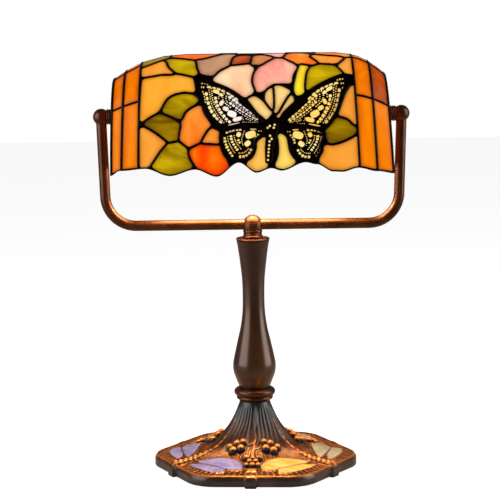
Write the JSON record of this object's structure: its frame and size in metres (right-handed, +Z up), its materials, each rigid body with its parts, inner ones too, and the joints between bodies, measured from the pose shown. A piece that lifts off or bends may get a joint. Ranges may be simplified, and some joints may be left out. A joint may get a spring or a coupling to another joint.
{
  "type": "table lamp",
  "caption": "Desk lamp with an arched stained glass shade that tilts between the arms of a U-shaped yoke, on a turned column and a flared cast base.",
  "frame": {"origin": "on the table, at the bottom centre of the lamp's bounding box, which is the axis of the column", "axes": "+Z up along the column, +X to the lamp's right along the shade, -Y out of the front of the shade"},
  "size_m": [0.287, 0.175, 0.3806],
  "materials": {
    "bronze": "antique bronze, satin",
    "brass": "dull",
    "steel": "zinc plated",
    "iron": "raw",
    "felt": "felt",
    "black_plastic": "moulded",
    "solder": "blackened solder",
    "glass_amber": "streaky opalescent art glass",
    "glass_lilac": "streaky opalescent art glass",
    "glass_cream": "streaky opalescent art glass",
    "bulb_glass": "frosted"
  },
  "bodies": {
    "stand": {"base_casting": "bronze", "wing_fore_left_1": "glass_lilac", "wing_fore_right_1": "glass_lilac", "wing_hind_left_1": "glass_lilac", "wing_hind_right_1": "glass_lilac", "wing_fore_left_2": "glass_cream", "wing_fore_right_2": "glass_cream", "wing_hind_left_2": "glass_cream", "wing_hind_right_2": "glass_cream", "wing_fore_left_3": "glass_cream", "wing_fore_right_3": "glass_cream", "wing_hind_left_3": "glass_cream", "wing_hind_right_3": "glass_cream", "bottom_cover": "steel", "felt_pad": "felt", "base_weight": "iron", "cord_bush": "black_plastic", "threaded_rod": "steel", "base_washer": "steel", "base_nut": "steel", "neck_ring": "bronze", "column": "bronze", "column_cap": "bronze", "hub_collar": "bronze", "hub_ball": "bronze", "yoke_arm_left": "bronze", "yoke_arm_right": "bronze", "pivot_ball_left": "bronze", "pivot_ball_right": "bronze", "pivot_sleeve_left": "bronze", "pivot_sleeve_right": "bronze"},
    "shade": {"glass_field_front": "glass_amber", "glass_field_back": "glass_amber", "glass_bar_inner_front_left": "glass_amber", "glass_bar_inner_front_right": "glass_amber", "glass_bar_inner_back_left": "glass_amber", "glass_bar_inner_back_right": "glass_amber", "glass_bar_outer_front_left": "glass_amber", "glass_bar_outer_front_right": "glass_amber", "glass_bar_outer_back_left": "glass_amber", "glass_bar_outer_back_right": "glass_amber", "glass_end_left": "glass_amber", "glass_end_right": "glass_amber", "solder_frame": "solder", "end_plate_left": "brass", "end_plate_right": "brass", "pivot_nipple_left": "brass", "pivot_nipple_right": "brass", "pivot_nut_left": "brass", "pivot_nut_right": "brass", "socket_cap": "black_plastic", "socket_shell": "brass"},
    "bulb": {"bulb_cap": "brass", "bulb_glass": "bulb_glass"}
  },
  "joints": [
    {"name": "shade_tilt", "type": "hinge", "parent": "stand", "child": "shade", "pos_m": [0, 0, 0.3257], "axis": [1, 0, 0], "range_deg": [-60, 60]},
    {"name": "bulb_unscrew", "type": "slide", "parent": "shade", "child": "bulb", "axis": [1, 0, 0], "range_m": [0, 0.032]}
  ]
}
